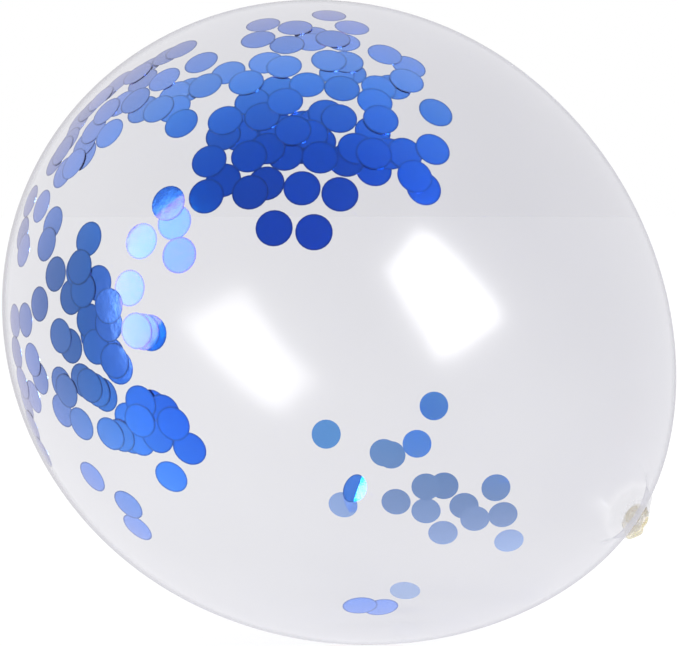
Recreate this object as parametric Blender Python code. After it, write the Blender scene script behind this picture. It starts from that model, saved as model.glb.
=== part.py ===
"""A clear latex party balloon, blown up and tied, lying on its side.

Skin, gathered neck, knot and rolled lip are one piece of latex, so they make one solid. The
balloon is sealed, so the solid has no hollow inside. It is modelled standing on its crown, with
the neck along +Z, and then laid down: the neck points along +X and dips towards the ground.
Metres, +Z up. The origin is the centre of the small flat spot that the balloon rests on.
"""

from math import cos, exp, pi, radians, sin, sqrt

import bmesh
import bpy
from mathutils import Matrix, Vector

# Blown-up body: lengths run from the widest section along the balloon's axis
BALLOON_DIAMETER = 0.300
CROWN_LENGTH = 0.160
SHOULDER_LENGTH = 0.203
SHOULDER_POWER = 0.684

# Neck: the shoulder flares out to it, and pleats draw it in to the knot
FLARE_DIAMETER = 0.080
FLARE_LENGTH = 0.0265
NECK_DIAMETER = 0.015
GATHER_LENGTH = 0.005
GATHERED_DIAMETER = 0.0092
PLEATS = 10
PLEAT_DEPTH = 0.0007

# Knot: two crossing turns of one strand
STRAND_DIAMETER = 0.0046
KNOT_TURN_DIAMETER = 0.0078
KNOT_TURN_TILT_DEG = 24.0
KNOT_TURN_TWIST_DEG = 17.0
KNOT_TURN_OFFSET = 0.0009

# Tail: a flattened trumpet that leans over from the knot and ends in the rolled lip
TAIL_LENGTH = 0.015
TAIL_LEAN_DEG = 72.0
TAIL_ROOT_DIAMETER = 0.0058
LIP_WIDTH = 0.0170
LIP_DEPTH = 0.0100
BEAD_DIAMETER = 0.0028
MOUTH_DEPTH = 0.0060
MOUTH_END_DIAMETER = 0.0024

# How it lies
NECK_DIP_DEG = 30.0
FLAT_DEPTH = 0.0028

# Fineness of the solid
BODY_SIDES = 60
CROWN_RINGS = 14
SHOULDER_RINGS = 13
FLARE_RINGS = 8
GATHER_RINGS = 5
TURN_STEPS = 28
STRAND_SIDES = 10
TAIL_SIDES = 24
TAIL_RINGS = 8
BEAD_RINGS = 7
WELD = 0.00001

BALLOON_RADIUS = BALLOON_DIAMETER / 2
NECK_RADIUS = NECK_DIAMETER / 2
FLARE_RADIUS = FLARE_DIAMETER / 2
BEAD_RADIUS = BEAD_DIAMETER / 2

FLARE_START = SHOULDER_LENGTH * sqrt(1 - (FLARE_DIAMETER / BALLOON_DIAMETER) ** (1 / SHOULDER_POWER))
GATHER_START = FLARE_START + FLARE_LENGTH
KNOT_CENTRE = GATHER_START + GATHER_LENGTH + STRAND_DIAMETER / 2


def clear_scene():
    for thing in list(bpy.data.objects):
        bpy.data.objects.remove(thing)


def ease(share):
    """0 to 1 with level ends."""
    share = min(1.0, max(0.0, share))
    return share * share * (3 - 2 * share)


def shoulder_radius(height):
    return BALLOON_RADIUS * (1 - (height / SHOULDER_LENGTH) ** 2) ** SHOULDER_POWER


def shoulder_slope(height):
    """How fast the shoulder's radius falls with height."""
    inside = 1 - (height / SHOULDER_LENGTH) ** 2
    steepness = 2 * SHOULDER_POWER * height / SHOULDER_LENGTH**2
    return BALLOON_RADIUS * steepness * inside ** (SHOULDER_POWER - 1)


def flare_radius(height):
    """Leaves the shoulder at its own slope and settles towards the neck's radius."""
    fall = FLARE_RADIUS - NECK_RADIUS
    return NECK_RADIUS + fall * exp(-shoulder_slope(FLARE_START) * (height - FLARE_START) / fall)


def gather_radius(height):
    """Draws the neck in to the knot."""
    share = ease((height - GATHER_START) / GATHER_LENGTH)
    return (1 - share) * flare_radius(height) + share * GATHERED_DIAMETER / 2


def body_outline():
    """Radius and height of each point of half the balloon's section, from the crown to the knot."""
    points = [(0.0, -CROWN_LENGTH)]
    for ring in range(1, CROWN_RINGS):
        angle = pi / 2 * ring / CROWN_RINGS
        points.append((BALLOON_RADIUS * sin(angle), -CROWN_LENGTH * cos(angle)))
    for ring in range(SHOULDER_RINGS):
        height = FLARE_START * ring / SHOULDER_RINGS
        points.append((shoulder_radius(height), height))
    for ring in range(FLARE_RINGS):
        height = FLARE_START + FLARE_LENGTH * ring / FLARE_RINGS
        points.append((flare_radius(height), height))
    for ring in range(GATHER_RINGS + 1):
        height = GATHER_START + GATHER_LENGTH * ring / GATHER_RINGS
        points.append((gather_radius(height), height))
    inside_knot = KNOT_CENTRE + STRAND_DIAMETER / 5
    points.append((GATHERED_DIAMETER / 2, inside_knot))
    points.append((0.0, inside_knot))
    return points


def spun(points, steps):
    """A closed body turned round the Z axis from a section in the XZ plane."""
    mesh = bmesh.new()
    corners = [mesh.verts.new((radius, 0, height)) for radius, height in points]
    edges = [mesh.edges.new(pair) for pair in zip(corners, corners[1:])]
    bmesh.ops.spin(
        mesh, geom=corners + edges, cent=(0, 0, 0), axis=(0, 0, 1), angle=2 * pi, steps=steps, use_merge=True
    )
    bmesh.ops.remove_doubles(mesh, verts=mesh.verts, dist=WELD)
    bmesh.ops.recalc_face_normals(mesh, faces=mesh.faces)
    return mesh


def pleat(mesh):
    """Folds the neck lengthwise, deeper and deeper towards the knot."""
    for corner in mesh.verts:
        radius = corner.co.xy.length
        if corner.co.z > FLARE_START and radius > WELD:
            reach = (corner.co.z - FLARE_START) / (GATHER_START + GATHER_LENGTH - FLARE_START)
            angle = corner.co.xy.angle_signed(Vector((1, 0)))
            fold = PLEAT_DEPTH * ease(reach) * cos(PLEATS * angle)
            corner.co.xy *= (radius + fold) / radius


def lay_down(mesh):
    """Turns the body onto its side and cuts its flat spot. Returns the placing of all it carries."""
    turn = Matrix.Rotation(radians(90 + NECK_DIP_DEG), 4, "Y")
    mesh.transform(turn)
    ground = min(corner.co.z for corner in mesh.verts) + FLAT_DEPTH
    everything = list(mesh.verts) + list(mesh.edges) + list(mesh.faces)
    cut = bmesh.ops.bisect_plane(
        mesh, geom=everything, dist=WELD, plane_co=(0, 0, ground), plane_no=(0, 0, -1), clear_outer=True
    )
    rim = [part for part in cut["geom_cut"] if isinstance(part, bmesh.types.BMEdge)]
    spot = bmesh.ops.contextual_create(mesh, geom=rim)["faces"][0]
    middle = spot.calc_center_bounds()
    bmesh.ops.recalc_face_normals(mesh, faces=mesh.faces)
    shift = Matrix.Translation(-middle)
    mesh.transform(shift)
    return shift @ turn


def knot_turn(side):
    """One turn of the knot's strand, tilted to the side that it crosses over."""
    section = []
    for corner in range(STRAND_SIDES + 1):
        angle = 2 * pi * corner / STRAND_SIDES
        radius = KNOT_TURN_DIAMETER / 2 + STRAND_DIAMETER / 2 * cos(angle)
        section.append((radius, STRAND_DIAMETER / 2 * sin(angle)))
    mesh = spun(section, TURN_STEPS)
    tilt = Matrix.Rotation(radians(side * KNOT_TURN_TILT_DEG), 4, "X")
    twist = Matrix.Rotation(radians(side * KNOT_TURN_TWIST_DEG), 4, "Z")
    mesh.transform(Matrix.Translation((0, 0, KNOT_CENTRE + side * KNOT_TURN_OFFSET)) @ twist @ tilt)
    return mesh


def tail_place(length):
    """Place and lean at a length along the tail's bent centreline, as a matrix."""
    steps = 24
    place = Matrix.Translation((0, 0, KNOT_CENTRE))
    lean = 0.0
    for step in range(steps):
        middle = length * (step + 0.5) / steps
        target = radians(TAIL_LEAN_DEG) * ease(2 * middle / TAIL_LENGTH)
        place = place @ Matrix.Rotation(lean - target, 4, "X") @ Matrix.Translation((0, 0, length / steps))
        lean = target
    return place


def oval(length, half_width, half_depth):
    start = Matrix.Rotation(pi / TAIL_SIDES / 2, 4, "Z")
    return tail_place(length) @ Matrix.Diagonal((half_width, half_depth, 1, 1)) @ start


def tail_ovals():
    """The ovals that the tail's surface runs through: out along it, over the lip and into the mouth."""
    root = TAIL_ROOT_DIAMETER / 2
    ovals = []
    for ring in range(TAIL_RINGS):
        share = ring / TAIL_RINGS
        spread = share**2
        half_width = root + (LIP_WIDTH / 2 - root) * spread
        half_depth = root + (LIP_DEPTH / 2 - root) * spread
        ovals.append(oval(TAIL_LENGTH * share, half_width, half_depth))
    for ring in range(BEAD_RINGS + 1):
        angle = radians(-60 + 260 * ring / BEAD_RINGS)
        out = BEAD_RADIUS * cos(angle)
        length = TAIL_LENGTH + BEAD_RADIUS * sin(angle)
        ovals.append(oval(length, LIP_WIDTH / 2 + out, LIP_DEPTH / 2 + out))
    ovals.append(oval(TAIL_LENGTH - MOUTH_DEPTH, MOUTH_END_DIAMETER / 2, MOUTH_END_DIAMETER / 2))
    return ovals


def lofted(ovals, sides):
    """A closed body through a run of ovals, each a matrix that places a unit circle."""
    mesh = bmesh.new()
    bmesh.ops.create_circle(mesh, cap_ends=True, radius=1.0, segments=sides, matrix=ovals[0])
    rim = list(mesh.edges)
    for before, after in zip(ovals, ovals[1:]):
        grown = bmesh.ops.extrude_edge_only(mesh, edges=rim)["geom"]
        rim = [part for part in grown if isinstance(part, bmesh.types.BMEdge)]
        corners = [part for part in grown if isinstance(part, bmesh.types.BMVert)]
        bmesh.ops.transform(mesh, matrix=after @ before.inverted(), verts=corners)
    bmesh.ops.contextual_create(mesh, geom=rim)
    bmesh.ops.recalc_face_normals(mesh, faces=mesh.faces)
    return mesh


def clear_latex():
    """Thin clear latex: glossy and nearly colourless."""
    material = bpy.data.materials.new("clear_latex")
    material.use_nodes = True
    shader = material.node_tree.nodes["Principled BSDF"]
    shader.inputs["Base Color"].default_value = (0.84, 0.85, 0.90, 1)
    shader.inputs["Roughness"].default_value = 0.08
    shader.inputs["Metallic"].default_value = 0.0
    shader.inputs["Alpha"].default_value = 0.3
    return material


def placed(name, mesh, collection):
    """Makes an object of a mesh and shades it smooth, with creases only at real edges."""
    data = bpy.data.meshes.new(name)
    mesh.to_mesh(data)
    mesh.free()
    data.shade_smooth()
    data.set_sharp_from_angle(angle=radians(40))
    thing = bpy.data.objects.new(name, data)
    collection.objects.link(thing)
    return thing


def tie(body, place):
    """Fuses the knot and the tail to the body; their own shapes stay as hidden guides."""
    shapes = {
        "knot_turn_over": knot_turn(1),
        "knot_turn_under": knot_turn(-1),
        "tail_and_lip": lofted(tail_ovals(), TAIL_SIDES),
    }
    guides = bpy.data.collections.new("knot_and_tail")
    bpy.context.scene.collection.children.link(guides)
    for name, mesh in shapes.items():
        mesh.transform(place)
        guide = placed(name, mesh, guides)
        guide.hide_render = True
        guide.display_type = "WIRE"
    join = body.modifiers.new("knot_and_tail", "BOOLEAN")
    join.operation = "UNION"
    join.solver = "EXACT"
    join.operand_type = "COLLECTION"
    join.collection = guides


def make_balloon():
    mesh = spun(body_outline(), BODY_SIDES)
    pleat(mesh)
    place = lay_down(mesh)
    body = placed("balloon", mesh, bpy.context.scene.collection)
    body.data.materials.append(clear_latex())
    tie(body, place)


clear_scene()
make_balloon()
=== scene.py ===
"""The looks of a clear latex party balloon with blue foil confetti, lying on its side.

A fine skin and a detailed knot take the place of the balloon's CAD solid, from the same named
sizes. The confetti clings to the inside of the skin. Metres, +Z up.
"""

from math import cos, exp, pi, radians, sin, sqrt
from random import Random

import bmesh
import bpy
from mathutils import Matrix, Vector
from mathutils.bvhtree import BVHTree


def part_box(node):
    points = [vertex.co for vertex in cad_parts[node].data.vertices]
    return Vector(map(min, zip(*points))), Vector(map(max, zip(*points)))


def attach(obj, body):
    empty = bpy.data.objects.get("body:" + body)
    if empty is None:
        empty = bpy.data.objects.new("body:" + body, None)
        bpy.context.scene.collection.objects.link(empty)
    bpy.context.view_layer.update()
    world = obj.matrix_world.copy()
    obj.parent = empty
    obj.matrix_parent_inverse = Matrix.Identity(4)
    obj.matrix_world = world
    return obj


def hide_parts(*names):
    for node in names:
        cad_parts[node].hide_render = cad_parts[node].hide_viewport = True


# Photograph and camera: the aim is the middle of the balloon's widest section
PHOTO_WIDTH = 679
PHOTO_HEIGHT = 646
SENSOR_MM = 36.0
LENS_MM = 127.5
CAMERA_AZIMUTH_DEG = -32.6
CAMERA_ELEVATION_DEG = 4.0
CAMERA_DISTANCE = 1.155
AIM_PX = (330.6, 320.7)
NEAREST_SEEN = 0.01
STEP_INSIDE = 0.0005

# Blown-up body: lengths run from the widest section along the balloon's axis
BALLOON_DIAMETER = 0.300
CROWN_LENGTH = 0.160
SHOULDER_LENGTH = 0.203
SHOULDER_POWER = 0.684
FLARE_DIAMETER = 0.080
FLARE_LENGTH = 0.0265
NECK_DIAMETER = 0.015
GATHER_LENGTH = 0.005
GATHERED_DIAMETER = 0.0092
PLEATS = 10
PLEAT_DEPTH = 0.0007
# Waves round the neck: how many, their share of the depth and their turn in radians
PLEAT_WAVES = ((PLEATS, 1.0, 0.0), (3, 0.35, 1.0), (2 * PLEATS, 0.25, 0.0))
PLEAT_START = 0.203
PLEAT_TWIST = 0.5
FILM_START = 0.178

# Knot and tail
STRAND_DIAMETER = 0.0046
KNOT_TURN_DIAMETER = 0.0078
KNOT_TURN_TILT_DEG = 24.0
KNOT_TURN_TWIST_DEG = 17.0
KNOT_TURN_OFFSET = 0.0009
TAIL_LENGTH = 0.015
TAIL_LEAN_DEG = 72.0
TAIL_BEND_SHARE = 0.5
TAIL_ROOT_DIAMETER = 0.0058
LIP_WIDTH = 0.0170
LIP_DEPTH = 0.0100
BEAD_DIAMETER = 0.0028
MOUTH_DEPTH = 0.0060
MOUTH_END_DIAMETER = 0.0024

# How it lies
NECK_DIP_DEG = 30.0
FLAT_DEPTH = 0.0028

# Confetti discs, punched from foil
DISC_DIAMETER = 0.0158
DISC_THICKNESS = 0.00005
DISC_GAP = 0.00012
DISC_SIDES = 24

# Fineness of the visual meshes
BODY_SIDES = 160
STRAND_SIDES = 30
TURN_STEPS = 90
# Creases of the knot's strand: how many round it, their twists in a turn and their share of the depth
CREASES = ((6, 2, 1.0), (3, -1, 0.5))
CREASE_DEPTH = 0.00022
TAIL_SIDES = 72
TAIL_RINGS = 24
TAIL_STEPS = 24
BEAD_RINGS = 14
BEAD_FIRST_DEG = -60
BEAD_SWEEP_DEG = 260
MOUTH_RINGS = 8
# Folds of the tail, as shares of its size, and waves of the lip, in the form of the pleats' waves
TAIL_FOLDS = ((7, 0.05, 0.6), (3, 0.07, 2.0))
LIP_WAVES = ((2, 1.0, 0.0), (5, 0.5, 1.0))
LIP_WAVE = 0.0008
KNOT_GRAIN = 0.00022
KNOT_SMOOTHINGS = 2
KNOT_SMOOTHING = 0.5
CROWN_RINGS = 44
SHOULDER_RINGS = 52
FLARE_RINGS = 40
GATHER_RINGS = 16
SHARP_EDGE_DEG = 50
WELD = 0.00001

BALLOON_RADIUS = BALLOON_DIAMETER / 2
NECK_RADIUS = NECK_DIAMETER / 2
FLARE_RADIUS = FLARE_DIAMETER / 2
BEAD_RADIUS = BEAD_DIAMETER / 2

FLARE_START = SHOULDER_LENGTH * sqrt(1 - (FLARE_DIAMETER / BALLOON_DIAMETER) ** (1 / SHOULDER_POWER))
GATHER_START = FLARE_START + FLARE_LENGTH
KNOT_CENTRE = GATHER_START + GATHER_LENGTH + STRAND_DIAMETER / 2


def ease(share):
    """0 to 1 with level ends."""
    share = min(1.0, max(0.0, share))
    return share * share * (3 - 2 * share)


def waves(parts, angle):
    """The sum of waves round a circle, each given by its count, height and turn."""
    return sum(height * cos(count * angle + turn) for count, height, turn in parts)


def shoulder_radius(height):
    return BALLOON_RADIUS * (1 - (height / SHOULDER_LENGTH) ** 2) ** SHOULDER_POWER


def shoulder_slope(height):
    """How fast the shoulder's radius falls with height."""
    inside = 1 - (height / SHOULDER_LENGTH) ** 2
    steepness = 2 * SHOULDER_POWER * height / SHOULDER_LENGTH**2
    return BALLOON_RADIUS * steepness * inside ** (SHOULDER_POWER - 1)


def flare_radius(height):
    """Leaves the shoulder at its own slope and settles towards the neck's radius."""
    fall = FLARE_RADIUS - NECK_RADIUS
    return NECK_RADIUS + fall * exp(-shoulder_slope(FLARE_START) * (height - FLARE_START) / fall)


def gather_radius(height):
    """Draws the neck in to the knot."""
    share = ease((height - GATHER_START) / GATHER_LENGTH)
    return (1 - share) * flare_radius(height) + share * GATHERED_DIAMETER / 2


def body_outline():
    """Radius and height of each point of half the balloon's section, from the crown to the knot."""
    points = [(0.0, -CROWN_LENGTH)]
    for ring in range(1, CROWN_RINGS):
        angle = pi / 2 * ring / CROWN_RINGS
        points.append((BALLOON_RADIUS * sin(angle), -CROWN_LENGTH * cos(angle)))
    for ring in range(SHOULDER_RINGS):
        height = FLARE_START * ring / SHOULDER_RINGS
        points.append((shoulder_radius(height), height))
    for ring in range(FLARE_RINGS):
        height = FLARE_START + FLARE_LENGTH * ring / FLARE_RINGS
        points.append((flare_radius(height), height))
    for ring in range(GATHER_RINGS + 1):
        height = GATHER_START + GATHER_LENGTH * ring / GATHER_RINGS
        points.append((gather_radius(height), height))
    points.append((0.0, KNOT_CENTRE))
    return points


def spun(points, steps):
    """A closed body turned round the Z axis from a section in the XZ plane."""
    mesh = bmesh.new()
    corners = [mesh.verts.new((radius, 0, height)) for radius, height in points]
    edges = [mesh.edges.new(pair) for pair in zip(corners, corners[1:])]
    bmesh.ops.spin(
        mesh, geom=corners + edges, cent=(0, 0, 0), axis=(0, 0, 1), angle=2 * pi, steps=steps, use_merge=True
    )
    bmesh.ops.remove_doubles(mesh, verts=mesh.verts, dist=WELD)
    bmesh.ops.recalc_face_normals(mesh, faces=mesh.faces)
    return mesh


def pleat(mesh):
    """Folds the neck lengthwise, deeper and sharper towards the knot, with a slight twist."""
    length = GATHER_START + GATHER_LENGTH - PLEAT_START
    for corner in mesh.verts:
        radius = corner.co.xy.length
        if corner.co.z > PLEAT_START and radius > WELD:
            reach = (corner.co.z - PLEAT_START) / length
            angle = corner.co.xy.angle_signed(Vector((1, 0))) + PLEAT_TWIST * reach
            depth = PLEAT_DEPTH * ease(reach) ** 2 * waves(PLEAT_WAVES, angle)
            corner.co.xy *= (radius + depth) / radius


def mark_film(mesh):
    """Keeps how unstretched the latex is at each corner: 0 over the blown body, 1 at the knot."""
    layer = mesh.verts.layers.float.new("unstretched")
    for corner in mesh.verts:
        corner[layer] = ease((corner.co.z - FILM_START) / (KNOT_CENTRE - FILM_START))


def lay_down(mesh):
    """Turns the body onto its side in the CAD solid's place. Returns the placing of all it carries."""
    turn = Matrix.Rotation(radians(90 + NECK_DIP_DEG), 4, "Y")
    mesh.transform(turn)
    low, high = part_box("balloon")
    first = min(corner.co.x for corner in mesh.verts)
    top = max(corner.co.z for corner in mesh.verts)
    shift = Matrix.Translation((low.x - first, 0, high.z - top))
    mesh.transform(shift)
    return shift @ turn


def settle(mesh):
    """Presses the underside flat against the ground, with a round edge to the flat spot."""
    soft = FLAT_DEPTH / 2
    for corner in mesh.verts:
        height = corner.co.z
        if height < -soft:
            corner.co.z = 0.0
        elif height < soft:
            corner.co.z = (height + soft) ** 2 / (4 * soft)
    mesh.normal_update()


def knot_turn(side):
    """One turn of the knot's strand, creased lengthwise and tilted to the side that it crosses over."""
    mesh = bmesh.new()
    upright = Matrix.Translation((KNOT_TURN_DIAMETER / 2, 0, 0)) @ Matrix.Rotation(pi / 2, 4, "X")
    bmesh.ops.create_circle(mesh, radius=STRAND_DIAMETER / 2, segments=STRAND_SIDES, matrix=upright)
    everything = list(mesh.verts) + list(mesh.edges)
    bmesh.ops.spin(
        mesh, geom=everything, cent=(0, 0, 0), axis=(0, 0, 1), angle=2 * pi, steps=TURN_STEPS, use_merge=True
    )
    bmesh.ops.remove_doubles(mesh, verts=mesh.verts, dist=WELD)
    bmesh.ops.recalc_face_normals(mesh, faces=mesh.faces)
    for corner in mesh.verts:
        round_turn = corner.co.xy.angle_signed(Vector((1, 0)))
        line = corner.co.xy.normalized().to_3d() * KNOT_TURN_DIAMETER / 2
        out = corner.co - line
        round_strand = Vector((out.xy.dot(corner.co.xy.normalized()), out.z)).angle_signed(Vector((1, 0)))
        crease = sum(
            share * cos(count * round_strand + twists * round_turn) for count, twists, share in CREASES
        )
        corner.co = line + out * (1 + CREASE_DEPTH / STRAND_DIAMETER * 2 * crease)
    tilt = Matrix.Rotation(radians(side * KNOT_TURN_TILT_DEG), 4, "X")
    twist = Matrix.Rotation(radians(side * KNOT_TURN_TWIST_DEG), 4, "Z")
    mesh.transform(Matrix.Translation((0, 0, KNOT_CENTRE + side * KNOT_TURN_OFFSET)) @ twist @ tilt)
    return mesh


def tail_place(length):
    """Place and lean at a length along the tail's bent centreline, as a matrix."""
    place = Matrix.Translation((0, 0, KNOT_CENTRE))
    step_on = Matrix.Translation((0, 0, length / TAIL_STEPS))
    lean = 0.0
    for step in range(TAIL_STEPS):
        middle = length * (step + 0.5) / TAIL_STEPS
        target = radians(TAIL_LEAN_DEG) * ease(middle / (TAIL_BEND_SHARE * TAIL_LENGTH))
        place = place @ Matrix.Rotation(lean - target, 4, "X") @ step_on
        lean = target
    return place


def oval(length, half_width, half_depth):
    return tail_place(length) @ Matrix.Diagonal((half_width, half_depth, 1, 1))


def tail_ovals():
    """The ovals that the tail's surface runs through: out along it, over the lip and into the mouth."""
    root = TAIL_ROOT_DIAMETER / 2
    ovals = []
    for ring in range(TAIL_RINGS):
        share = ring / TAIL_RINGS
        spread = share**2
        half_width = root + (LIP_WIDTH / 2 - root) * spread
        half_depth = root + (LIP_DEPTH / 2 - root) * spread
        ovals.append(oval(TAIL_LENGTH * share, half_width, half_depth))
    for ring in range(BEAD_RINGS + 1):
        angle = radians(BEAD_FIRST_DEG + BEAD_SWEEP_DEG * ring / BEAD_RINGS)
        out = BEAD_RADIUS * cos(angle)
        length = TAIL_LENGTH + BEAD_RADIUS * sin(angle)
        ovals.append(oval(length, LIP_WIDTH / 2 + out, LIP_DEPTH / 2 + out))
    for ring in range(1, MOUTH_RINGS + 1):
        share = ring / MOUTH_RINGS
        half_width = (LIP_WIDTH / 2 - BEAD_RADIUS) * (1 - share) ** 2 + MOUTH_END_DIAMETER / 2
        half_depth = (LIP_DEPTH / 2 - BEAD_RADIUS) * (1 - share) ** 2 + MOUTH_END_DIAMETER / 2
        ovals.append(oval(TAIL_LENGTH - MOUTH_DEPTH * share, half_width, half_depth))
    return ovals


def tail_and_lip():
    """The tail as a closed body through its ovals, with soft folds and a lip that waves a little."""
    ovals = tail_ovals()
    mesh = bmesh.new()
    bmesh.ops.create_circle(mesh, cap_ends=True, radius=1.0, segments=TAIL_SIDES, matrix=ovals[0])
    rim = list(mesh.edges)
    for before, after in zip(ovals, ovals[1:]):
        grown = bmesh.ops.extrude_edge_only(mesh, edges=rim)["geom"]
        rim = [part for part in grown if isinstance(part, bmesh.types.BMEdge)]
        corners = [part for part in grown if isinstance(part, bmesh.types.BMVert)]
        bmesh.ops.transform(mesh, matrix=after @ before.inverted(), verts=corners)
    bmesh.ops.contextual_create(mesh, geom=rim)
    bmesh.ops.recalc_face_normals(mesh, faces=mesh.faces)
    end = tail_place(TAIL_LENGTH)
    for corner in mesh.verts:
        local = end.inverted() @ corner.co
        angle = local.xy.angle_signed(Vector((1, 0)), 0.0)
        reach = ease(1 + local.z / TAIL_LENGTH)
        fold = 1 + reach * waves(TAIL_FOLDS, angle)
        lift = LIP_WAVE * reach**3 * waves(LIP_WAVES, angle)
        corner.co = end @ Vector((local.x * fold, local.y * fold, local.z + lift))
    return mesh


def fused(name, meshes, grain):
    """Melts closed meshes into one skin of small faces, and smooths it."""
    data = bpy.data.meshes.new(name)
    whole = bmesh.new()
    for mesh in meshes:
        mesh.to_mesh(data)
        mesh.free()
        whole.from_mesh(data)
    whole.to_mesh(data)
    whole.free()
    guide = bpy.data.objects.new(name, data)
    bpy.context.scene.collection.objects.link(guide)
    melt = guide.modifiers.new("melt", "REMESH")
    melt.mode = "VOXEL"
    melt.voxel_size = grain
    evaluated = guide.evaluated_get(bpy.context.evaluated_depsgraph_get())
    mesh = bmesh.new()
    mesh.from_mesh(evaluated.to_mesh())
    bpy.data.objects.remove(guide)
    for _ in range(KNOT_SMOOTHINGS):
        bmesh.ops.smooth_vert(
            mesh, verts=mesh.verts, factor=KNOT_SMOOTHING, use_axis_x=True, use_axis_y=True, use_axis_z=True
        )
    return mesh


def mark_lip(mesh):
    """Keeps how far each corner is along the tail to the rolled lip, where the latex is thickest."""
    layer = mesh.verts.layers.float.new("lip")
    end = tail_place(TAIL_LENGTH).inverted()
    for corner in mesh.verts:
        corner[layer] = ease(1 + (end @ corner.co).z / TAIL_LENGTH)


class Flow:
    """A shader socket that works in Python sums: each sum adds its own Math node."""

    def __init__(self, tree, socket=None):
        self.tree = tree
        self.socket = socket

    def node(self, kind, settings, inputs, output=0):
        """Adds any node: its settings first, then the values or links of its inputs."""
        made = self.tree.nodes.new(kind)
        for name, value in settings.items():
            if name == "stops":
                self.set_stops(made.color_ramp, value)
            else:
                setattr(made, name, value)
        for key, value in inputs.items():
            if isinstance(value, Flow):
                self.tree.links.new(value.socket, made.inputs[key])
            else:
                made.inputs[key].default_value = value
        return Flow(self.tree, made.outputs[output])

    @staticmethod
    def set_stops(ramp, stops):
        while len(ramp.elements) < len(stops):
            ramp.elements.new(1.0)
        for element, (place, colour) in zip(ramp.elements, stops):
            element.position = place
            element.color = (*colour, 1)

    def sum(self, operation, *terms):
        return self.node("ShaderNodeMath", {"operation": operation}, dict(enumerate(terms)))

    def __add__(self, other):
        return self.sum("ADD", self, other)

    def __radd__(self, other):
        return self.sum("ADD", other, self)

    def __sub__(self, other):
        return self.sum("SUBTRACT", self, other)

    def __rsub__(self, other):
        return self.sum("SUBTRACT", other, self)

    def __mul__(self, other):
        return self.sum("MULTIPLY", self, other)

    def __rmul__(self, other):
        return self.sum("MULTIPLY", other, self)

    def __pow__(self, other):
        return self.sum("POWER", self, other)

    def between(self, low, high):
        """0 below low and 1 above high, with a straight run between."""
        return self.node("ShaderNodeMapRange", {}, {"Value": self, "From Min": low, "From Max": high})

    def mix(self, first, second):
        """Colour first where this is 0 and colour second where it is 1."""
        inputs = {0: self, 6: first, 7: second}
        return self.node("ShaderNodeMix", {"data_type": "RGBA"}, inputs, 2)

    def attribute(self, name):
        return self.node("ShaderNodeAttribute", {"attribute_name": name}, {}, "Fac")

    def place(self):
        return self.node("ShaderNodeTexCoord", {}, {}, "Object")

    def facing(self):
        """0 where the surface is square on to the eye, and 1 where it is edge on."""
        return self.node("ShaderNodeLayerWeight", {}, {"Blend": 0.5}, "Facing")

    def dot(self, direction):
        inputs = {0: self, 1: tuple(direction)}
        return self.node("ShaderNodeVectorMath", {"operation": "DOT_PRODUCT"}, inputs, "Value")

    def noise(self, scale, detail):
        inputs = {"Vector": self.place(), "Scale": scale, "Detail": detail}
        return self.node("ShaderNodeTexNoise", {}, inputs)

    def bump(self, height, distance, strength=1.0):
        inputs = {"Height": height, "Distance": distance, "Strength": strength}
        return self.node("ShaderNodeBump", {}, inputs)


def new_material(name):
    """A material with one Principled shader. Returns it, the shader and a flow to build from."""
    material = bpy.data.materials.new(name)
    material.use_nodes = True
    shader = material.node_tree.nodes["Principled BSDF"]
    return material, shader, Flow(material.node_tree)


def link(flow, shader, name):
    flow.tree.links.new(flow.socket, shader.inputs[name])


LATEX_PALE = (0.60, 0.54, 0.36, 1)
LATEX_DEEP = (0.43, 0.36, 0.11, 1)
LATEX_ROUGHNESS = 0.42
LATEX_COVER = 0.36
LATEX_CLOUD_SCALE = 220.0
LATEX_CLOUD_RANGE = (0.35, 0.7)
LATEX_CLOUD_SHARE = 0.2
WRINKLE_SCALE = 900.0
WRINKLE_HEIGHT = 0.00012
WRINKLE_STRENGTH = 0.6
LATEX_DETAIL = 3.0
FLESH_WEIGHT = 0.35
FLESH_RADIUS = (1.0, 0.7, 0.3)
FLESH_SCALE = 0.003


def knot_latex():
    """Unstretched latex of the knot and lip: honey-coloured, fleshy and faintly wrinkled."""
    material, shader, flow = new_material("knot_latex")
    lip = flow.attribute("lip")
    cloud = flow.noise(LATEX_CLOUD_SCALE, LATEX_DETAIL).between(*LATEX_CLOUD_RANGE)
    deep = lip * (1 - LATEX_CLOUD_SHARE) + cloud * LATEX_CLOUD_SHARE
    link(deep.mix(LATEX_PALE, LATEX_DEEP), shader, "Base Color")
    wrinkle = flow.noise(WRINKLE_SCALE, LATEX_DETAIL)
    link(flow.bump(wrinkle, WRINKLE_HEIGHT, WRINKLE_STRENGTH), shader, "Normal")
    shader.inputs["Roughness"].default_value = LATEX_ROUGHNESS
    shader.inputs["Subsurface Weight"].default_value = FLESH_WEIGHT
    shader.inputs["Subsurface Radius"].default_value = FLESH_RADIUS
    shader.inputs["Subsurface Scale"].default_value = FLESH_SCALE
    shader.inputs["Alpha"].default_value = LATEX_COVER
    return material


FILM_CLEAR = (0.02, 0.015, 0.10, 1)
FILM_HAZE = (0.62, 0.61, 0.65, 1)
FILM_EDGE = (0.32, 0.31, 0.36, 1)
FILM_NECK = (0.74, 0.73, 0.70, 1)
FILM_COVER = 0.145
FILM_CLOUD_SCALE = 9.0
FILM_CLOUD_DETAIL = 4.0
FILM_CLOUD_RANGE = (0.3, 0.7)
FILM_CLOUD_SWING = 0.16
# The blown film is darker towards one upper side of the body, a painted shade
PAINTED_SHADE_SIDE = (0.75, -0.48, 0.45)
PAINTED_SHADE_RANGE = (-0.02, 0.16)
PAINTED_SHADE_COVER = 0.045
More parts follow.
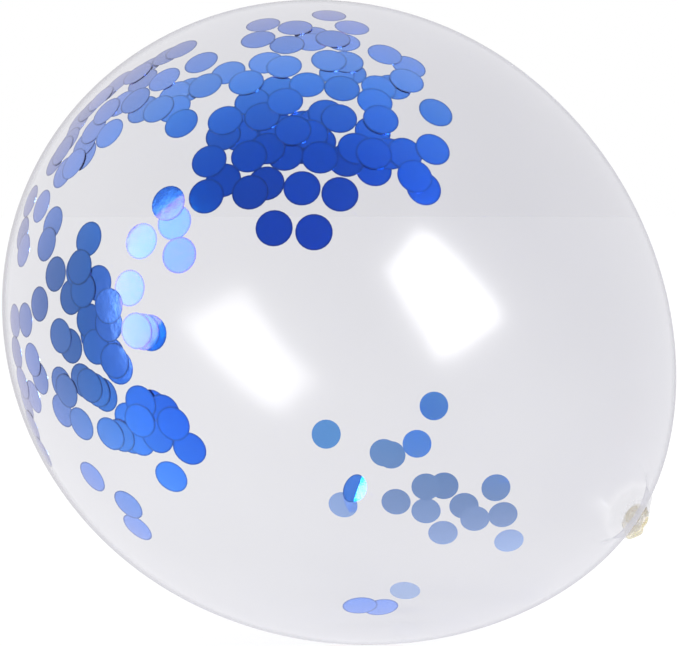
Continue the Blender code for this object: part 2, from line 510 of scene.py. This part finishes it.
# Where the film dulls, pales and thickens towards the neck, by how unstretched it is
DULL_RANGE = (0.35, 0.8)
PALE_RANGE = (0.85, 1.0)
THICK_RANGE = (0.93, 1.0)
NECK_COVER = 0.40
NECK_ROUGHNESS = 0.45
FILM_ROUGHNESS = 0.19
FILM_IOR = 1.50
RIPPLE_SCALE = 14.0
RIPPLE_DETAIL = 2.0
RIPPLE_HEIGHT = 0.0006
# The film hazes where it turns from the eye, with a darker outline; the outline is wider towards the crown, a
# painted shade there
RIM_COVER = 0.60
RIM_SHARPNESS = 6
EDGE_COVER = 0.20
EDGE_RANGE = (0.84, 0.92)
CROWN_SIDE = (-1, 0, 0)
CROWN_RANGE = (0.06, 0.17)
CROWN_SHADE_LINE_COVER = 0.50
CROWN_SHADE_LINE_RANGE = (0.80, 0.88)


def latex_film():
    """Clear film over the body: it hazes over at the rim, and turns to pale thick latex at the neck."""
    material, shader, flow = new_material("clear_latex_film")
    unstretched = flow.attribute("unstretched")
    facing = flow.facing()
    edge = facing.between(*EDGE_RANGE)
    # The wider dark outline towards the crown is painted shade
    crown = flow.place().dot(CROWN_SIDE).between(*CROWN_RANGE)
    line = facing.between(*CROWN_SHADE_LINE_RANGE) * crown
    rim = facing**RIM_SHARPNESS * RIM_COVER + edge * EDGE_COVER + line * CROWN_SHADE_LINE_COVER
    rim = (rim * (1 - unstretched)).between(0.0, 1.0)
    cloud = flow.noise(FILM_CLOUD_SCALE, FILM_CLOUD_DETAIL).between(*FILM_CLOUD_RANGE)
    # Painted shade: the film darkens towards one upper side of the body
    painted_shade = flow.place().dot(PAINTED_SHADE_SIDE).between(*PAINTED_SHADE_RANGE)
    thick = unstretched.between(*THICK_RANGE)
    cover = FILM_COVER * (1 - FILM_CLOUD_SWING / 2 + FILM_CLOUD_SWING * cloud)
    cover = cover + PAINTED_SHADE_COVER * painted_shade + thick * (NECK_COVER - FILM_COVER)
    whole = cover + (1 - cover) * rim
    haze = (1 - cover) * rim * whole**-1
    link(whole, shader, "Alpha")
    blown = haze.mix(FILM_CLEAR, edge.mix(FILM_HAZE, FILM_EDGE))
    link(unstretched.between(*PALE_RANGE).mix(blown, FILM_NECK), shader, "Base Color")
    ripple = flow.noise(RIPPLE_SCALE, RIPPLE_DETAIL)
    link(flow.bump(ripple, RIPPLE_HEIGHT), shader, "Normal")
    dull = unstretched.between(*DULL_RANGE)
    link(FILM_ROUGHNESS + dull * (NECK_ROUGHNESS - FILM_ROUGHNESS), shader, "Roughness")
    shader.inputs["IOR"].default_value = FILM_IOR
    return material


# Foil colour from square on to edge on, for the side against the skin and the side turned inwards: its own
# blue square on, paling towards edge on in a painted sheen
FRONT_BLUE_AND_SHEEN_STOPS = (
    (0.0, (0.0, 0.085, 0.79)),
    (0.15, (0.0, 0.13, 0.89)),
    (0.25, (0.03, 0.22, 1.0)),
    (0.33, (0.07, 0.30, 1.0)),
    (0.42, (0.16, 0.38, 1.0)),
    (0.55, (0.27, 0.43, 1.0)),
    (0.75, (0.48, 0.52, 0.88)),
    (1.0, (0.60, 0.60, 0.80)),
)
# The side turned inwards is paler than the side against the skin: painted light
BACK_PAINTED_LIGHT_STOPS = (
    (0.0, (0.14, 0.41, 0.88)),
    (0.10, (0.36, 0.58, 1.0)),
    (0.20, (0.46, 0.63, 1.0)),
    (0.5, (0.56, 0.70, 1.0)),
)
FOIL_ROUGHNESS = 0.16
FOIL_COAT = 0.45
FOIL_COAT_ROUGHNESS = 0.06
FOIL_DETAIL = 2.0
# A disc's shade: its least, then what its own tone, the grain and the side turned inwards add; the lift of
# the side turned inwards is painted light
FOIL_SHADE = 0.78
TONE_LIFT = 0.14
GRAIN_LIFT = 0.08
INNER_PAINTED_LIFT = 0.10
GRAIN_SCALE = 750.0
GRAIN_RANGE = (0.35, 0.65)
# Painted shade darkens the edge of the side against the skin, from a share of the disc's radius outwards
PAINTED_EDGE_SHADE = 0.38
PAINTED_EDGE_RANGE = (0.88, 0.98)
CRINKLE_SCALE = 260.0
CRINKLE_HEIGHT = 0.00008


def blue_foil():
    """Metallic blue foil under a clear lacquer, a shade apart from disc to disc, paling towards edge on in a
    painted sheen.
    """
    material, shader, flow = new_material("blue_foil")
    facing = flow.facing()
    # Both ramps pale the foil towards edge on: a painted sheen over its own blue
    front = flow.node("ShaderNodeValToRGB", {"stops": FRONT_BLUE_AND_SHEEN_STOPS}, {0: facing})
    back = flow.node("ShaderNodeValToRGB", {"stops": BACK_PAINTED_LIGHT_STOPS}, {0: facing})
    edge = flow.attribute("reach").between(*PAINTED_EDGE_RANGE)
    grain = flow.noise(GRAIN_SCALE, FOIL_DETAIL).between(*GRAIN_RANGE)
    inner = flow.attribute("back")
    # The lift of the side turned inwards is painted light
    shade = FOIL_SHADE + TONE_LIFT * flow.attribute("tone") + GRAIN_LIFT * grain + INNER_PAINTED_LIFT * inner
    # Painted shade along the edge of the side against the skin
    shade = shade - edge * (1 - inner) * PAINTED_EDGE_SHADE
    link(shade.mix((0, 0, 0, 1), inner.mix(front, back)), shader, "Base Color")
    crinkle = flow.noise(CRINKLE_SCALE, FOIL_DETAIL)
    link(flow.bump(crinkle, CRINKLE_HEIGHT), shader, "Normal")
    shader.inputs["Metallic"].default_value = 1.0
    shader.inputs["Roughness"].default_value = FOIL_ROUGHNESS
    shader.inputs["Coat Weight"].default_value = FOIL_COAT
    shader.inputs["Coat Roughness"].default_value = FOIL_COAT_ROUGHNESS
    return material


def finished(name, mesh, material):
    """Makes a piece of a mesh, shaded smooth, which rides on the one body."""
    data = bpy.data.meshes.new(name)
    mesh.to_mesh(data)
    mesh.free()
    data.shade_smooth()
    data.set_sharp_from_angle(angle=radians(SHARP_EDGE_DEG))
    data.materials.append(material)
    piece = bpy.data.objects.new(name, data)
    bpy.context.scene.collection.objects.link(piece)
    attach(piece, "root")
    return piece


class View:
    """The photograph's camera: where it stands, and its line of sight through a pixel."""

    def __init__(self, aim):
        azimuth = radians(CAMERA_AZIMUTH_DEG)
        elevation = radians(CAMERA_ELEVATION_DEG)
        self.back = Vector((sin(azimuth) * cos(elevation), -cos(azimuth) * cos(elevation), sin(elevation)))
        self.right = Vector((cos(azimuth), sin(azimuth), 0))
        self.up = self.back.cross(self.right)
        self.focal_px = LENS_MM / SENSOR_MM * PHOTO_WIDTH
        slide = CAMERA_DISTANCE / self.focal_px
        sideways = (PHOTO_WIDTH / 2 - AIM_PX[0]) * slide
        upwards = (AIM_PX[1] - PHOTO_HEIGHT / 2) * slide
        self.place = aim + self.back * CAMERA_DISTANCE + self.right * sideways + self.up * upwards

    def along(self, parts):
        """A direction from its parts to the right, upwards and back towards the camera."""
        return self.right * parts[0] + self.up * parts[1] + self.back * parts[2]

    def sight(self, pixel):
        """The direction from the camera through a pixel of the photograph."""
        across = (pixel[0] - PHOTO_WIDTH / 2) / self.focal_px
        down = (pixel[1] - PHOTO_HEIGHT / 2) / self.focal_px
        return (self.right * across - self.up * down - self.back).normalized()

    def wall_spots(self, wall, pixel):
        """Where a pixel's line of sight enters and leaves the balloon: point and outward normal."""
        direction = self.sight(pixel)
        near, near_normal, _, _ = wall.ray_cast(self.place, direction)
        if near is None:
            return None
        far, far_normal, _, _ = wall.ray_cast(near + direction * STEP_INSIDE, direction)
        if far is None:
            return None
        return (near, near_normal), (far, far_normal)

    def add_camera(self):
        data = bpy.data.cameras.new("camera")
        data.lens = LENS_MM
        data.sensor_width = SENSOR_MM
        data.clip_start = NEAREST_SEEN
        camera = bpy.data.objects.new("camera", data)
        bpy.context.scene.collection.objects.link(camera)
        camera.location = self.place
        camera.rotation_mode = "QUATERNION"
        camera.rotation_quaternion = self.back.to_track_quat("Z", "Y")
        bpy.context.scene.camera = camera


# Lamps: where they stand from the aim, how their long sides run and the way their light goes, each to
# the right, up and back towards the camera
SOFTBOX_PLACE = (1.889, 0.431, 2.235)
SOFTBOX_LONG_SIDE = (0.219, -0.813, -0.539)
SOFTBOX_BEAM = (-0.916, 0.019, -0.400)
SOFTBOX_LENGTH = 1.95
SOFTBOX_WIDTH = 1.30
SOFTBOX_POWER = 625.0
SIDE_LAMP_PLACE = (-1.064, 0.336, 0.668)
SIDE_LAMP_LONG_SIDE = (0.714, -0.679, -0.171)
SIDE_LAMP_BEAM = (0.116, 0.356, -0.927)
SIDE_LAMP_LENGTH = 1.15
SIDE_LAMP_WIDTH = 0.90
SIDE_LAMP_POWER = 80.0
SIDE_LAMP_COLOUR = (1.0, 0.25, 0.13)
OVERHEAD_SIZE = 2.0
OVERHEAD_HEIGHT = 2.4
OVERHEAD_POWER = 12.0


def add_lamp(name, centre, beam, long_side, length, width, power):
    """A soft rectangular lamp, set by the way its light goes and the way its long side runs."""
    data = bpy.data.lights.new(name, "AREA")
    data.shape = "RECTANGLE"
    data.size = length
    data.size_y = width
    data.energy = power
    lamp = bpy.data.objects.new(name, data)
    bpy.context.scene.collection.objects.link(lamp)
    rear = -beam.normalized()
    short_side = rear.cross(long_side).normalized()
    axes = Matrix((short_side.cross(rear), short_side, rear)).transposed()
    lamp.location = centre
    lamp.rotation_mode = "QUATERNION"
    lamp.rotation_quaternion = axes.to_quaternion()
    lamp.visible_camera = False
    return lamp


def light_studio(view, aim, foil):
    """A softbox and a side lamp, which lights the foil alone, and a broad soft lamp overhead."""
    place = aim + view.along(SOFTBOX_PLACE)
    beam = view.along(SOFTBOX_BEAM)
    long_side = view.along(SOFTBOX_LONG_SIDE)
    softbox = add_lamp("softbox", place, beam, long_side, SOFTBOX_LENGTH, SOFTBOX_WIDTH, SOFTBOX_POWER)
    softbox.visible_diffuse = False
    place = aim + view.along(SIDE_LAMP_PLACE)
    beam = view.along(SIDE_LAMP_BEAM)
    long_side = view.along(SIDE_LAMP_LONG_SIDE)
    side = add_lamp("side_lamp", place, beam, long_side, SIDE_LAMP_LENGTH, SIDE_LAMP_WIDTH, SIDE_LAMP_POWER)
    side.visible_diffuse = False
    side.data.color = SIDE_LAMP_COLOUR
    lit = bpy.data.collections.new("lit_from_the_side")
    lit.objects.link(foil)
    side.light_linking.receiver_collection = lit
    place = Vector((0, 0, OVERHEAD_HEIGHT))
    overhead = add_lamp("overhead", place, -place, view.right, OVERHEAD_SIZE, OVERHEAD_SIZE, OVERHEAD_POWER)
    overhead.visible_glossy = False


# What the pieces reflect of the room: white below, less above and behind, and two darker places.
# Each range is of how nearly a direction points the way of its darker part.
ROOM_WHITE = (1.38, 1.38, 1.39, 1)
UPPER_LOSS = 0.20
UPPER_RANGE = (-0.60, -0.10)
DARK_ABOVE = (-0.25, 0.62, 0.74)
DARK_ABOVE_LOSS = 0.40
DARK_ABOVE_RANGE = (0.60, 0.92)
DARK_SIDE = (-0.99, -0.05, -0.10)
DARK_SIDE_LOSS = 0.42
DARK_SIDE_RANGE = (0.84, 0.97)
BEHIND_LOSS = 0.15
BEHIND_RANGE = (0.30, 0.70)


def set_world(view):
    """White all round for the eye; what the pieces reflect has its dark places."""
    world = bpy.data.worlds.new("studio")
    bpy.context.scene.world = world
    world.use_nodes = True
    flow = Flow(world.node_tree)
    background = world.node_tree.nodes["Background"]
    direction = flow.node("ShaderNodeTexCoord", {}, {}, "Generated")
    upper = direction.dot(view.up).between(*UPPER_RANGE)
    above = direction.dot(view.along(DARK_ABOVE)).between(*DARK_ABOVE_RANGE)
    side = direction.dot(view.along(DARK_SIDE)).between(*DARK_SIDE_RANGE)
    behind = direction.dot(-view.back).between(*BEHIND_RANGE)
    light = (1 - UPPER_LOSS * upper) * (1 - DARK_ABOVE_LOSS * above)
    light = light * (1 - DARK_SIDE_LOSS * side) * (1 - BEHIND_LOSS * behind)
    room = light.mix((0, 0, 0, 1), ROOM_WHITE)
    eye = flow.node("ShaderNodeLightPath", {}, {}, "Is Camera Ray")
    link(eye.mix(room, (1, 1, 1, 1)), background, "Color")


FLOOR_RADIUS = 8.0
FLOOR_SIDES = 96
FLOOR_ROUGHNESS = 0.9
FLOOR_WHITE = 0.20
FLOOR_GLOW = 0.77
FLOOR_CLEARANCE = 0.0005


def add_floor():
    material, shader, flow = new_material("pale_floor")
    shader.inputs["Base Color"].default_value = (FLOOR_WHITE, FLOOR_WHITE, FLOOR_WHITE, 1)
    shader.inputs["Roughness"].default_value = FLOOR_ROUGHNESS
    shader.inputs["Emission Color"].default_value = (1, 1, 1, 1)
    shader.inputs["Emission Strength"].default_value = FLOOR_GLOW
    mesh = bmesh.new()
    bmesh.ops.create_circle(mesh, cap_ends=True, radius=FLOOR_RADIUS, segments=FLOOR_SIDES)
    bmesh.ops.translate(mesh, vec=(0, 0, -FLOOR_CLEARANCE), verts=mesh.verts)
    data = bpy.data.meshes.new("floor")
    mesh.to_mesh(data)
    mesh.free()
    data.materials.append(material)
    floor = bpy.data.objects.new("floor", data)
    bpy.context.scene.collection.objects.link(floor)
    floor.visible_glossy = False
    floor.visible_shadow = False


# Confetti on the near wall, in runs across the photo: first centre, last centre, how many
NEAR_RUNS = (
    (329, 15, 329, 15, 1),
    (263, 24, 295, 27, 2),
    (312, 33, 312, 33, 1),
    (352, 27, 352, 27, 1),
    (258, 39, 258, 39, 1),
    (287, 44, 311, 41, 2),
    (333, 38, 343, 41, 2),
    (266, 62, 284, 66, 2),
    (329, 60, 346, 61, 2),
    (337, 73, 349, 72, 2),
    (246, 82, 246, 82, 1),
    (277, 87, 307, 84, 2),
    (342, 88, 342, 88, 1),
    (385, 54, 385, 54, 1),
    (409, 66, 407, 80, 2),
    (379, 87, 394, 86, 2),
    (375, 101, 375, 101, 1),
    (381, 119, 373, 131, 2),
    (252, 101, 285, 101, 3),
    (225, 120, 225, 120, 1),
    (246, 114, 262, 116, 2),
    (326, 113, 339, 118, 2),
    (303, 124, 316, 122, 2),
    (223, 135, 257, 135, 3),
    (276, 126, 310, 134, 3),
    (209, 161, 209, 161, 1),
    (249, 156, 249, 156, 1),
    (267, 148, 267, 148, 1),
    (285, 154, 302, 147, 2),
    (320, 157, 318, 141, 2),
    (346, 160, 356, 148, 2),
    (374, 169, 374, 169, 1),
    (374, 153, 405, 153, 3),
    (433, 149, 433, 149, 1),
    (415, 176, 424, 188, 2),
    (206, 196, 223, 180, 2),
    (250, 192, 266, 183, 2),
    (302, 188, 340, 194, 2),
    (274, 228, 314, 232, 2),
    (436, 112, 436, 112, 1),
    (181, 49, 167, 55, 2),
    (201, 62, 228, 72, 2),
    (164, 79, 164, 79, 1),
    (205, 85, 205, 85, 1),
    (188, 89, 174, 93, 2),
    (142, 109, 174, 108, 3),
    (135, 100, 121, 103, 2),
    (106, 111, 106, 111, 1),
    (181, 123, 181, 123, 1),
    (109, 133, 109, 133, 1),
    (93, 129, 84, 143, 2),
    (83, 155, 63, 172, 3),
    (147, 66, 137, 73, 2),
    (142, 80, 142, 80, 1),
    (118, 82, 108, 91, 2),
    (100, 98, 79, 118, 3),
    (77, 124, 68, 141, 2),
    (62, 150, 55, 160, 2),
    (41, 206, 30, 201, 2),
    (52, 223, 46, 244, 2),
    (22, 233, 23, 250, 2),
    (88, 239, 88, 239, 1),
    (79, 267, 77, 270, 2),
    (55, 274, 55, 274, 1),
    (97, 283, 82, 290, 2),
    (70, 297, 70, 297, 1),
    (39, 304, 39, 304, 1),
    (25, 320, 14, 321, 2),
    (88, 321, 92, 336, 2),
    (60, 336, 70, 346, 2),
    (95, 347, 95, 347, 1),
    (110, 355, 118, 367, 3),
    (108, 306, 108, 324, 2),
    (168, 203, 174, 222, 2),
    (179, 255, 179, 255, 1),
    (141, 241, 141, 241, 1),
    (129, 288, 129, 288, 1),
    (136, 331, 150, 333, 3),
    (32, 360, 39, 378, 2),
    (16, 353, 22, 383, 2),
    (33, 397, 26, 404, 2),
    (32, 426, 32, 426, 1),
    (61, 384, 66, 391, 2),
    (82, 381, 103, 395, 4),
    (62, 411, 62, 411, 1),
    (81, 424, 81, 424, 1),
    (110, 434, 139, 440, 4),
    (128, 420, 173, 424, 5),
    (140, 403, 163, 412, 3),
    (157, 437, 157, 437, 1),
    (189, 449, 189, 449, 1),
    (171, 477, 171, 477, 1),
    (92, 477, 92, 477, 1),
    (128, 505, 137, 528, 2),
    (43, 452, 43, 452, 1),
    (360, 606, 381, 608, 2),
)
# Confetti on the far wall, in the same form
FAR_RUNS = (
    (434, 406, 434, 406, 1),
    (384, 453, 391, 455, 2),
    (417, 444, 417, 444, 1),
    (343, 505, 343, 505, 1),
    (396, 502, 396, 502, 1),
    (426, 487, 444, 486, 2),
    (426, 511, 426, 511, 1),
    (464, 506, 475, 519, 2),
    (443, 533, 443, 533, 1),
    (496, 488, 496, 488, 1),
    (503, 515, 503, 515, 1),
    (509, 541, 509, 541, 1),
    (405, 591, 405, 591, 1),
)
# Two discs stand off the far wall on their rims: pixel, the way each faces, its upright line, then
# how far beside that line it is folded, and how many degrees the fold goes back
STANDING = (
    ((352, 494), (-0.70, 0.26, 0.665), (0.33, 0.93, -0.17), 0.0031, 60.0),
    ((325, 436), (0.04, -0.03, -1.0), (0.0, 1.0, -0.03), 0.0, 0.0),
)
STANDING_GAP = 0.0003
CONFETTI_SEED = 11


def along(run):
    """The centres of one run of discs, evenly apart."""
    x0, y0, x1, y1, count = run
    steps = max(1, count - 1)
    return [(x0 + (x1 - x0) * step / steps, y0 + (y1 - y0) * step / steps) for step in range(count)]


def disc_shape():
    """One flat disc on the XY plane, as a mesh that each disc starts from."""
    mesh = bmesh.new()
    reach = mesh.verts.layers.float.new("reach")
    back = mesh.verts.layers.float.new("back")
    bmesh.ops.create_circle(mesh, cap_ends=True, cap_tris=True, radius=DISC_DIAMETER / 2, segments=DISC_SIDES)
    grown = bmesh.ops.extrude_face_region(mesh, geom=list(mesh.faces))["geom"]
    lifted = [part for part in grown if isinstance(part, bmesh.types.BMVert)]
    bmesh.ops.translate(mesh, vec=(0, 0, DISC_THICKNESS), verts=lifted)
    bmesh.ops.recalc_face_normals(mesh, faces=mesh.faces)
    for corner in mesh.verts:
        corner[reach] = corner.co.xy.length / (DISC_DIAMETER / 2)
        corner[back] = 1.0 if corner.co.z < DISC_THICKNESS / 2 else 0.0
    data = bpy.data.meshes.new("disc_shape")
    mesh.to_mesh(data)
    mesh.free()
    return data


class Confetti:
    """Discs that cling to the inside of the skin, each bent to it and clear of those before it."""

    def __init__(self, wall, draw):
        self.wall = wall
        self.draw = draw
        self.shape = disc_shape()
        self.mesh = bmesh.new()
        self.tone = self.mesh.verts.layers.float.new("tone")
        self.mesh.verts.layers.float.new("reach")
        self.mesh.verts.layers.float.new("back")
        self.laid = []

    def depth(self, centre):
        """The first layer under the skin that no disc crossing this one has taken."""
        taken = [depth for place, depth in self.laid if (place - centre).length < DISC_DIAMETER]
        return min(set(range(1, len(taken) + 2)) - set(taken))

    def lay(self, centre, normal):
        depth = self.depth(centre)
        self.laid.append((centre, depth))
        first = len(self.mesh.verts)
        self.mesh.from_mesh(self.shape)
        self.mesh.verts.ensure_lookup_table()
        corners = self.mesh.verts[first:]
        turn = Matrix.Rotation(self.draw.uniform(0, 2 * pi), 4, "Z")
        stand = Matrix.Translation(centre) @ normal.to_track_quat("Z", "Y").to_matrix().to_4x4() @ turn
        tone = self.draw.random()
        for corner in corners:
            height = corner.co.z
            spot, outward, _, _ = self.wall.find_nearest(stand @ Vector((corner.co.x, corner.co.y, 0)))
            corner.co = spot - outward * (DISC_GAP * depth - height)
            corner[self.tone] = tone

    def stand(self, spot, outward, face, upright, fold, fold_deg):
        """Adds a disc that stands off the wall on its rim, folded back along a line."""
        kinds = (self.mesh.verts, self.mesh.edges, self.mesh.faces)
        counts = [len(kind) for kind in kinds]
        self.mesh.from_mesh(self.shape)
        for kind in kinds:
            kind.ensure_lookup_table()
        parts = [part for kind, count in zip(kinds, counts) for part in kind[count:]]
        bmesh.ops.bisect_plane(self.mesh, geom=parts, dist=WELD, plane_co=(fold, 0, 0), plane_no=(1, 0, 0))
        self.mesh.verts.ensure_lookup_table()
        corners = self.mesh.verts[counts[0] :]
        flap = [corner for corner in corners if corner.co.x > fold + WELD]
        bend = Matrix.Rotation(radians(fold_deg), 3, "Y")
        bmesh.ops.rotate(self.mesh, cent=(fold, 0, 0), matrix=bend, verts=flap)
        upright = upright.normalized()
        side = upright.cross(face).normalized()
        face = side.cross(upright)
        lift = DISC_DIAMETER / 2 * sin(face.angle(outward)) + STANDING_GAP
        turn = Matrix((side, upright, face)).transposed().to_4x4()
        place = Matrix.Translation(spot - outward * lift) @ turn
        bmesh.ops.transform(self.mesh, matrix=place, verts=corners)
        for corner in corners:
            corner[self.tone] = 1.0


def scatter_confetti(view, wall):
    draw = Random(CONFETTI_SEED)
    confetti = Confetti(wall, draw)
    for side, runs in enumerate((NEAR_RUNS, FAR_RUNS)):
        pixels = [pixel for run in runs for pixel in along(run)]
        draw.shuffle(pixels)
        for pixel in pixels:
            spots = view.wall_spots(wall, pixel)
            if spots:
                confetti.lay(*spots[side])
    for pixel, face, upright, fold, fold_deg in STANDING:
        spot, outward = view.wall_spots(wall, pixel)[1]
        confetti.stand(spot, outward, view.along(face), view.along(upright), fold, fold_deg)
    return confetti.mesh


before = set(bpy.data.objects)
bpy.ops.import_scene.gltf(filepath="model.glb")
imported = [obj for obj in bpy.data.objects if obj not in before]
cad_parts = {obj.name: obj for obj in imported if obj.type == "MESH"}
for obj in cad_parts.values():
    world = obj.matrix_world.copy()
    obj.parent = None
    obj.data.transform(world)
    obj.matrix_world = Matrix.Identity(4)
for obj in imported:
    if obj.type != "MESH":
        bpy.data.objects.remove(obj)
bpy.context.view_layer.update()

body = spun(body_outline(), BODY_SIDES)
pleat(body)
mark_film(body)
place = lay_down(body)
settle(body)
wall = BVHTree.FromBMesh(body)
aim = place.translation.copy()
view = View(aim)
view.add_camera()
skin = finished("balloon_skin", body, latex_film())
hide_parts("balloon")
tie = fused("knot_and_lip", [knot_turn(1), knot_turn(-1), tail_and_lip()], KNOT_GRAIN)
mark_lip(tie)
tie.transform(place)
knot = finished("knot_and_lip", tie, knot_latex())
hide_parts("balloon")
foil = finished("foil_confetti", scatter_confetti(view, wall), blue_foil())

add_floor()
light_studio(view, aim, foil)
set_world(view)
bpy.context.scene.view_settings.view_transform = "Standard"
